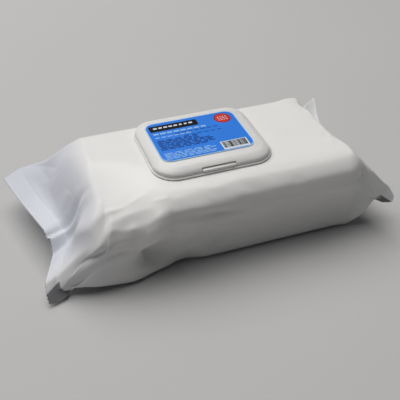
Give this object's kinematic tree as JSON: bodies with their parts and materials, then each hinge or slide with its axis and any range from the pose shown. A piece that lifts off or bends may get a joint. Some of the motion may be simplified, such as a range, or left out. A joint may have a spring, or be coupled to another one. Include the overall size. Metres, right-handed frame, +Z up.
{
  "type": "wet wipes pack",
  "caption": "Flow-wrapped film pack of folded wet wipes with crimped end seals and a rigid flip-top lid that hinges open over the dispensing mouth.",
  "frame": {"origin": "on the face the pack rests on, under the middle of the lid across the pack and at the middle of its width", "axes": "+Z up through the lid, +X along the pack between its end seals, -Y towards the lid's thumb notch"},
  "size_m": [0.301, 0.147, 0.0824],
  "materials": {
    "film": "glossy white printed film, slightly see-through where it is one layer",
    "wipes": "matt wet nonwoven",
    "lid_plastic": "satin moulded polypropylene",
    "label": "printed self-adhesive label, satin"
  },
  "bodies": {
    "pack": {"film_wrapper": "film", "wipe_stack": "wipes", "lid_base": "lid_plastic"},
    "lid": {"flip_lid": "lid_plastic", "lid_label": "label"}
  },
  "joints": [
    {"name": "lid_hinge", "type": "hinge", "parent": "pack", "child": "lid", "pos_m": [0, 0.048, 0.0767], "axis": [-1, 0, 0], "range_deg": [0, 115]}
  ]
}
